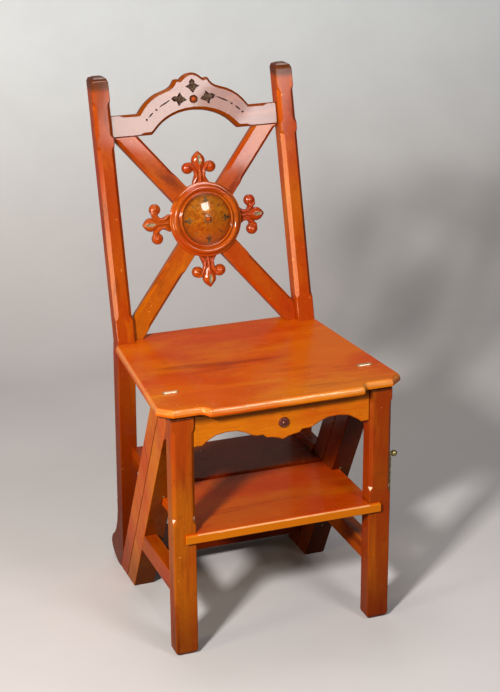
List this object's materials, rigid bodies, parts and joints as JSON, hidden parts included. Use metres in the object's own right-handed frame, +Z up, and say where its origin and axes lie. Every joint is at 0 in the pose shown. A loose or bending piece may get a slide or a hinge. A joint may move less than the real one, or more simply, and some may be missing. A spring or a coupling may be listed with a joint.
{
  "type": "folding library step chair",
  "caption": "Wooden side chair with a carved cross-braced back; the seat hinges at its front and the chair turns over into library steps.",
  "frame": {"origin": "floor, below the middle of the bounding box", "axes": "+Z up, -Y is the front of the chair, +X to the sitter's left as seen from the front right"},
  "size_m": [0.438, 0.4956, 0.914],
  "materials": {
    "mahogany": "glossy French polish, open red-brown grain",
    "polished_boards": "high gloss polish on wide orange-red boards",
    "dark_turnings": "dark red polish on small turnings",
    "amber_wood": "amber varnish, very glossy",
    "ebonised_inlay": "ebonised, satin",
    "hinge_brass": "polished brass, slightly dulled",
    "aged_brass": "aged greenish brass"
  },
  "bodies": {
    "stand": {"front_leg_left": "mahogany", "front_leg_right": "mahogany", "lower_string_left": "mahogany", "lower_string_right": "mahogany", "side_brace_left": "mahogany", "side_brace_right": "mahogany", "gusset_left": "mahogany", "gusset_right": "mahogany", "apron": "mahogany", "apron_boss": "dark_turnings", "lower_tread": "polished_boards", "front_seat_strip": "polished_boards", "hinge_leaf_fixed_left": "hinge_brass", "hinge_leaf_fixed_right": "hinge_brass", "hinge_pin_left": "hinge_brass", "hinge_pin_right": "hinge_brass", "catch_plate": "aged_brass", "catch_knob": "aged_brass"},
    "folding_frame": {"main_seat": "polished_boards", "back_post_left": "mahogany", "back_post_right": "mahogany", "upper_string_left": "mahogany", "upper_string_right": "mahogany", "middle_tread": "polished_boards", "top_tread": "polished_boards", "middle_batten_left": "mahogany", "middle_batten_right": "mahogany", "top_batten_left": "mahogany", "top_batten_right": "mahogany", "saltire_bar_rising": "mahogany", "saltire_bar_falling": "mahogany", "crest_rail": "mahogany", "boss_ring": "mahogany", "boss_dome": "amber_wood", "boss_knob": "dark_turnings", "fleuron_top": "mahogany", "fleuron_left": "mahogany", "fleuron_bottom": "mahogany", "fleuron_right": "mahogany", "crest_button": "dark_turnings", "crest_leaf_top": "ebonised_inlay", "crest_leaf_left": "ebonised_inlay", "crest_leaf_right": "ebonised_inlay", "hinge_leaf_moving_left": "hinge_brass", "hinge_leaf_moving_right": "hinge_brass", "catch_stud": "aged_brass"},
    "hook": {"catch_arm": "aged_brass"}
  },
  "joints": [
    {"name": "fold", "type": "hinge", "parent": "stand", "child": "folding_frame", "pos_m": [0, -0.15411, 0.4572], "axis": [1, 0, 0], "range_deg": [0, 180]},
    {"name": "hook_swing", "type": "hinge", "parent": "stand", "child": "hook", "pos_m": [0.2, -0.20961, 0.3095], "axis": [1, 0, 0], "range_deg": [0, 118]}
  ]
}
